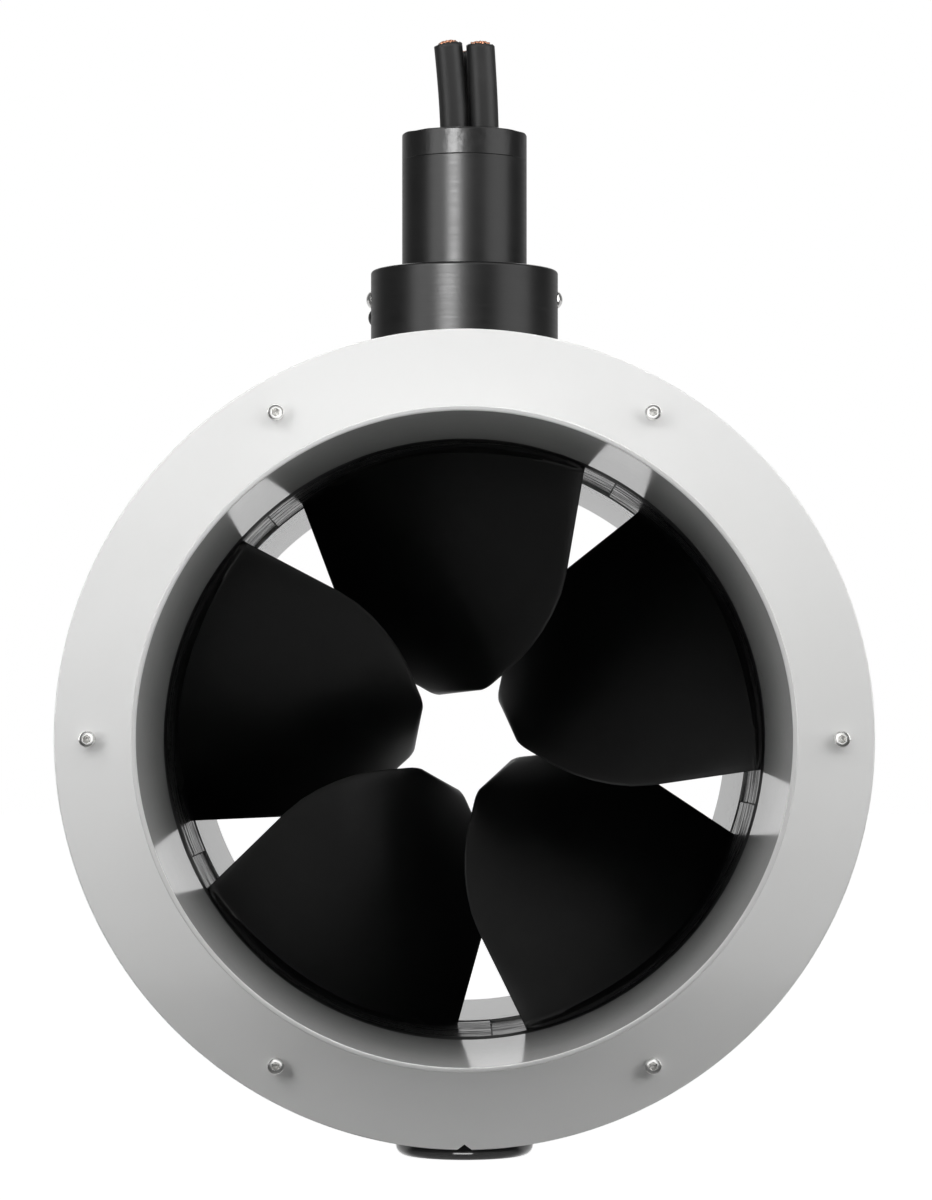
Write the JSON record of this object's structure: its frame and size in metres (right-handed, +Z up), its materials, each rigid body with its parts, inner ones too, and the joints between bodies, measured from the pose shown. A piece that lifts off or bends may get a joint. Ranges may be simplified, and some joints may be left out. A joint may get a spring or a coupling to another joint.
{
  "type": "bow thruster",
  "caption": "Rim-driven bow thruster: a hubless bladed rotor turns inside a ring motor between two flanged white tunnel stubs, with a cable stem on top.",
  "frame": {"origin": "where the tunnel axis crosses the stem axis, in the middle of the motor", "axes": "+Y along the tunnel axis towards the rear end, +Z up the stem, +X to the right seen from the front"},
  "size_m": [0.34, 0.4, 0.4784],
  "materials": {
    "white_moulding": "gloss",
    "stainless": "satin",
    "seal_rubber": "matt",
    "white_housing": "satin",
    "bearing_polymer": "matt",
    "journal_steel": "polished",
    "core_steel": "lacquered",
    "coil_copper": "enamelled",
    "can_composite": "smooth",
    "carrier_steel": "satin",
    "magnet": "plated",
    "band_composite": "gloss",
    "clamp_black": "satin",
    "blade_black": "satin",
    "stem_black": "satin",
    "plug_black": "satin",
    "sleeve_black": "gloss",
    "cap_black": "gloss",
    "potting": "gloss",
    "lead_insulation": "matt",
    "cable_rubber": "satin",
    "bare_copper": "bright"
  },
  "bodies": {
    "thruster_body": {"front_tunnel_stub": "white_moulding", "rear_tunnel_stub": "white_moulding", "front_flange_screws": "stainless", "rear_flange_screws": "stainless", "front_cover_screws": "stainless", "rear_cover_screws": "stainless", "collar_screws": "stainless", "front_flange_seal": "seal_rubber", "rear_flange_seal": "seal_rubber", "stem_seal": "seal_rubber", "bottom_cap_seal": "seal_rubber", "motor_housing": "white_housing", "front_end_cover": "white_housing", "rear_end_cover": "white_housing", "front_bearing_bush": "bearing_polymer", "rear_bearing_bush": "bearing_polymer", "front_thrust_ring": "bearing_polymer", "rear_thrust_ring": "bearing_polymer", "stator_core": "core_steel", "stator_coils": "coil_copper", "stator_can": "can_composite", "stem_collar": "stem_black", "stem_tube": "stem_black", "collar_plug": "plug_black", "stem_end_sleeve": "sleeve_black", "bottom_cap": "cap_black", "stem_potting": "potting", "phase_leads": "lead_insulation", "phase_cable_1": "cable_rubber", "phase_cable_2": "cable_rubber", "phase_cable_3": "cable_rubber", "cable_core_1": "bare_copper", "cable_core_2": "bare_copper", "cable_core_3": "bare_copper"},
    "rotor": {"rotor_carrier": "carrier_steel", "rotor_magnets": "magnet", "magnet_sleeve": "band_composite", "front_journal_sleeve": "journal_steel", "rear_journal_sleeve": "journal_steel", "front_clamp_ring": "clamp_black", "clamp_ring_screws": "stainless", "blade_dowels": "stainless", "blade_1": "blade_black", "blade_2": "blade_black", "blade_3": "blade_black", "blade_4": "blade_black", "blade_5": "blade_black"}
  },
  "joints": [
    {"name": "rotor_spin", "type": "hinge", "parent": "thruster_body", "child": "rotor", "pos_m": [0, 0, 0], "axis": [0, 1, 0], "continuous": true}
  ]
}
